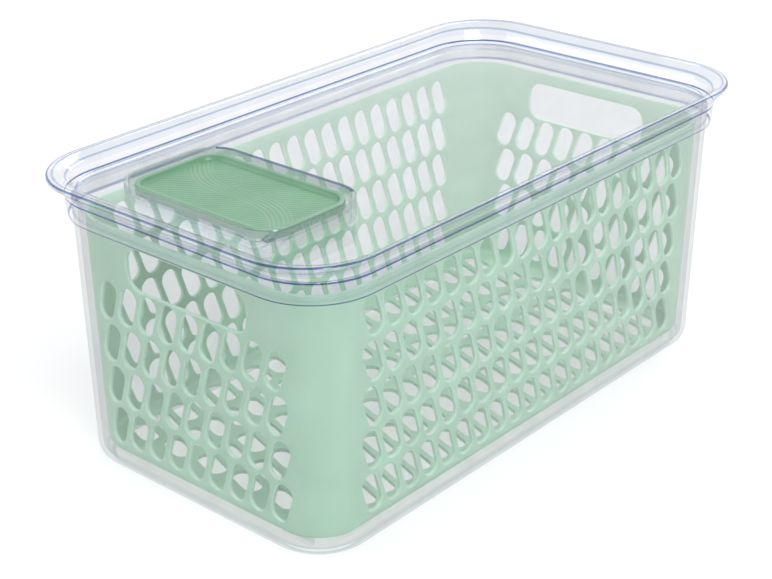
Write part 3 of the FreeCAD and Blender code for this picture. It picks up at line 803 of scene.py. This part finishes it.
def make_lid():
    bm = bmesh.new()
    under = [hood_ring(bm, RIM), hood_ring(bm, LID_LOW.z)]
    side = lid_side(bm)
    pool = lid_pool(bm)
    collar = collar_rings(bm)
    hollow = [vent_ring(bm, DECK_LOW, 0.0), vent_ring(bm, RIM, 0.0)]
    openings = [[flat_ring(bm, s, DECK_TOP), flat_ring(bm, s, DECK_LOW)] for s in deck_slots()]
    for rings in [under + side + pool, collar, hollow] + openings:
        bridge_all(bm, rings)
    fill_flat(bm, pool[-1], [collar[0]])
    fill_flat(bm, under[0], [hollow[1]])
    fill_flat(bm, collar[-1], [rings[0] for rings in openings])
    fill_flat(bm, hollow[0], [rings[1] for rings in openings])
    # painted shade: darker tinted strips where the sheet turns or is seen edge on stand in for the
    # dark refractions and reflections there
    edge, streaked, line, lip = 1, 2, 3, 4
    mark_along(side[:3], edge)
    mark_along(side[3:5], edge)
    # painted shade on the lip's flare
    mark_along(side[7:-2], lip)
    mark_along(side[-3:], edge)
    mark_along(pool[:2], line)
    mark_along(pool[5:7], line)
    mark_along(pool[-2:], line)
    # greenish painted shade on the collar's lower wall
    mark_along(collar[:2], streaked)
    mark_along(collar[1:5], edge, lambda spot: spot.y > VENT_Y + VENT_HALF_Y)
    piece = finish_piece(bm, "lid_shell", "box",
                         [THIN_CLEAR, LID_EDGE_PAINTED_SHADE, STREAKED_PAINTED_GREEN_SHADE, PAINTED_SHADE_LINE, LIP_PAINTED_SHADE])
    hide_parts("lid")


# Vent shutter

SHUTTER_TOP = SHUTTER_HIGH.z
SHUTTER_FOOT = SHUTTER_TOP - VENT_TALL
TRAY_TOP = SHUTTER_TOP - TRAY_DEPTH
WEB_LOW = TRAY_TOP - TRAY_WEB
WEB_MIDDLE = WEB_LOW + TRAY_WEB / 2
HOOK_HIGH = DECK_LOW - (SHUTTER_FOOT - DECK_TOP)


def groove(x, y):
    """Height of the shallow wave lines in the shutter's field, from 0 to 1."""
    along = WAVE_WAY[0] * x + WAVE_WAY[1] * y
    across = WAVE_WAY[0] * y - WAVE_WAY[1] * x
    bend = WAVE_BEND * math.sin(along / WAVE_LENGTH + WAVE_TWIST * across)
    flow = (across + bend) / WAVE_PITCH
    along = BUNDLE_WAY[0] * x + BUNDLE_WAY[1] * y
    offset = BUNDLE_WAY[0] * y - BUNDLE_WAY[1] * x - BUNDLE_BEND * math.sin(along / BUNDLE_LENGTH)
    if abs(offset) < BUNDLE_WIDE / 2:
        flow = offset / WAVE_PITCH
    return 0.5 + 0.5 * math.cos(2 * math.pi * flow)


def shutter_rings(bm):
    """Rings from the web's underside, round the wall, over the curb and down to the tray."""
    turn, near = CURB_TURN, CURB_TURN * TURN
    inner = TRAY_RIM + CURB_LEAN
    steps = [(WEB_LOW, SHUTTER_WALL), (SHUTTER_FOOT, SHUTTER_WALL), (SHUTTER_FOOT, 0.0),
             (SHUTTER_TOP - turn, 0.0), (SHUTTER_TOP - near, near), (SHUTTER_TOP, turn),
             (SHUTTER_TOP, TRAY_RIM - turn), (SHUTTER_TOP - near, TRAY_RIM - near),
             (SHUTTER_TOP - turn, TRAY_RIM), (TRAY_TOP + turn, inner),
             (TRAY_TOP + turn * 0.2, inner + turn * 0.5), (TRAY_TOP, inner + turn * 1.2)]
    return [flat_ring(bm, rounded(VENT_HALF_X - inset, VENT_HALF_Y - inset, VENT_CORNER - inset,
                                  (0.0, VENT_Y)), z) for z, inset in steps]


def add_bars(bm):
    """Bars under the tray that cover the air slots when the shutter is slid to -X."""
    for i in range(AIR_SLOTS):
        x = (i - (AIR_SLOTS - 1) / 2) * AIR_PITCH + (AIR_WIDE + BAR_WIDE) / 2 - TRAVEL
        block(bm, (x, VENT_Y), BAR_WIDE / 2, VENT_HALF_Y - SHUTTER_WALL / 2,
              SHUTTER_FOOT, WEB_MIDDLE)


def add_legs(bm):
    """Legs through the slots of the deck, each with a hook under it."""
    for spot in LEG_SPOTS:
        block(bm, spot, LEG_THICK / 2, LEG_DEEP / 2, HOOK_HIGH - HOOK_THICK, WEB_MIDDLE)
        block(bm, spot, LEG_THICK / 2, LEG_DEEP / 2 + LEG_SLACK + HOOK_OUT,
              HOOK_HIGH - HOOK_THICK, HOOK_HIGH)


def wave_grid(edge):
    """Fine grid of points inside the outline of the tray's field."""
    near = [(x * WAVE_REACH[0], VENT_Y + (y - VENT_Y) * WAVE_REACH[1]) for x, y in edge]
    count_x, count_y = int(2 * VENT_HALF_X / WAVE_GRID), int(2 * VENT_HALF_Y / WAVE_GRID)
    points = [((i - count_x / 2) * WAVE_GRID, VENT_Y + (j - count_y / 2) * WAVE_GRID)
              for i in range(count_x) for j in range(count_y)]
    return [p for p in points if inside(p, near)]


def fill_tray(bm, border):
    """The tray's field with its wave lines, inside a ring of vertices."""
    edge = [(v.co.x, v.co.y) for v in border]
    grid = wave_grid(edge)
    _, triangles = pierced_triangles(edge, [], grid)
    verts = border + ring(bm, [(x, y, TRAY_TOP - WAVE_DEEP * groove(x, y - VENT_Y))
                               for x, y in grid])
    for triangle in triangles:
        bm.faces.new([verts[i] for i in triangle])


def make_shutter():
    bm = bmesh.new()
    rings = shutter_rings(bm)
    bridge_all(bm, rings)
    fill_flat(bm, rings[0])
    add_bars(bm)
    add_legs(bm)
    fill_tray(bm, rings[-1])
    piece = finish_piece(bm, "shutter_tray", "vent_shutter", [SHUTTER_GREEN], 35.0)
    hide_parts("vent_shutter")


# Stage

WHITE = grey(1.0)


def make_floor():
    """A pale floor that glows a little where it is seen, so that it nearly meets the white."""
    material, nodes, links, output = node_material("pale_floor")
    diffuse = nodes.new("ShaderNodeBsdfDiffuse")
    cloud = noise_node(nodes, links, 3.0, 2.0)
    colour = ramp_node(nodes, links, cloud.outputs["Fac"], (0.88, 0.88, 0.885, 1.0),
                       (0.9, 0.9, 0.905, 1.0))
    links.new(colour.outputs["Color"], diffuse.inputs["Color"])
    glow = nodes.new("ShaderNodeEmission")
    glow.inputs["Color"].default_value = WHITE
    glow.inputs["Strength"].default_value = 1.0
    rays = nodes.new("ShaderNodeLightPath")
    share = nodes.new("ShaderNodeMath")
    share.operation = "MULTIPLY"
    share.inputs[1].default_value = FLOOR_GLOW
    seen = larger(nodes, links, rays.outputs["Is Camera Ray"], rays.outputs["Is Glossy Ray"])
    links.new(seen, share.inputs[0])
    links.new(mixed(nodes, links, share.outputs["Value"], diffuse.outputs["BSDF"],
                    glow.outputs["Emission"]), output.inputs["Surface"])
    bpy.ops.mesh.primitive_plane_add(size=8.0, location=(0, 0, 0))
    floor = bpy.context.object
    floor.name = "floor"
    floor.data.materials.append(material)


def direction_share(nodes, links, direction, low, high):
    """0 to 1 as the world's direction turns towards a given one."""
    place = nodes.new("ShaderNodeTexCoord")
    dot = nodes.new("ShaderNodeVectorMath")
    dot.operation = "DOT_PRODUCT"
    dot.inputs[1].default_value = direction
    links.new(place.outputs["Generated"], dot.inputs[0])
    share = nodes.new("ShaderNodeMapRange")
    share.interpolation_type = "SMOOTHSTEP"
    share.inputs["From Min"].default_value = low
    share.inputs["From Max"].default_value = high
    links.new(dot.outputs["Value"], share.inputs["Value"])
    return share.outputs["Result"]


def background(nodes, colour, strength):
    node = nodes.new("ShaderNodeBackground")
    node.inputs["Color"].default_value = colour
    node.inputs["Strength"].default_value = strength
    return node.outputs["Background"]


def mirrored_room(nodes, links):
    """What the plastic mirrors: white low down and behind, dim and bluish above and in front,
    and a bright patch where the lid mirrors it."""
    above = direction_share(nodes, links, UPWARD, 0.5, 0.75)
    front = direction_share(nodes, links, TO_CAMERA_SIDE, 0.1, 0.5)
    dim = larger(nodes, links, above, front)
    room = mixed(nodes, links, dim, background(nodes, WHITE, ROOM_WHITE),
                 background(nodes, ROOM_DIM, 1.0))
    mirrored = direction_share(nodes, links, MIRRORED_BY_LID, 0.80, 0.97)
    return mixed(nodes, links, mirrored, room, background(nodes, WHITE, MIRRORED_WHITE))


def make_world():
    """White where it is seen straight on, a room in mirroring plastic and a soft fill elsewhere."""
    scene = bpy.context.scene
    world = bpy.data.worlds.new("studio")
    scene.world = world
    world.use_nodes = True
    nodes = world.node_tree.nodes
    links = world.node_tree.links
    nodes.clear()
    output = nodes.new("ShaderNodeOutputWorld")
    rays = nodes.new("ShaderNodeLightPath")
    fill = background(nodes, FILL_COLOUR, FILL_STRENGTH)
    plastic = larger(nodes, links, rays.outputs["Is Glossy Ray"],
                     rays.outputs["Is Transmission Ray"])
    lit = mixed(nodes, links, plastic, fill, mirrored_room(nodes, links))
    seen = mixed(nodes, links, rays.outputs["Is Camera Ray"], lit, background(nodes, WHITE, 1.0))
    links.new(seen, output.inputs["Surface"])
    scene.view_settings.view_transform = "Standard"


def area_lamp(name, place, size, power):
    """A round lamp that looks at the box and isn't seen itself."""
    data = bpy.data.lights.new(name, "AREA")
    data.shape = "DISK"
    data.size = size
    data.energy = power
    lamp = bpy.data.objects.new(name, data)
    bpy.context.scene.collection.objects.link(lamp)
    lamp.location = place
    way = Vector(LAMP_TARGET) - Vector(place)
    lamp.rotation_euler = way.to_track_quat("-Z", "Y").to_euler()
    lamp.visible_transmission = False
    lamp.visible_camera = False


def make_camera():
    """The camera of the photo, from its azimuth, elevation and roll."""
    azimuth, elevation, roll = CAMERA_AZIMUTH, CAMERA_ELEVATION, CAMERA_ROLL
    back = Vector((math.sin(azimuth) * math.cos(elevation),
                   -math.cos(azimuth) * math.cos(elevation), math.sin(elevation)))
    level = Vector((math.cos(azimuth), math.sin(azimuth), 0.0))
    upright = back.cross(level)
    right = level * math.cos(roll) + upright * math.sin(roll)
    up = upright * math.cos(roll) - level * math.sin(roll)
    data = bpy.data.cameras.new("camera")
    data.sensor_width = CAMERA_SENSOR
    data.lens = CAMERA_LENS
    data.clip_start = 0.05
    data.clip_end = 50.0
    camera = bpy.data.objects.new("camera", data)
    bpy.context.scene.collection.objects.link(camera)
    matrix = Matrix((right, up, back)).transposed().to_4x4()
    matrix.translation = Vector(CAMERA_PLACE)
    camera.matrix_world = matrix
    bpy.context.scene.camera = camera


def let_light_through():
    """Enough light bounces for clear plastic behind clear plastic."""
    cycles = bpy.context.scene.cycles
    cycles.max_bounces = LIGHT_BOUNCES
    cycles.transmission_bounces = LIGHT_BOUNCES
    cycles.transparent_max_bounces = LIGHT_BOUNCES


make_bin()
make_basket()
make_lid()
make_shutter()
make_floor()
make_world()
area_lamp("key", (1.1, -0.5, 1.5), 1.0, 28.0)
area_lamp("fill", (-1.2, -1.0, 1.1), 1.2, 9.0)
area_lamp("rear", (-0.4, 1.4, 1.3), 1.0, 10.0)
make_camera()
let_light_through()
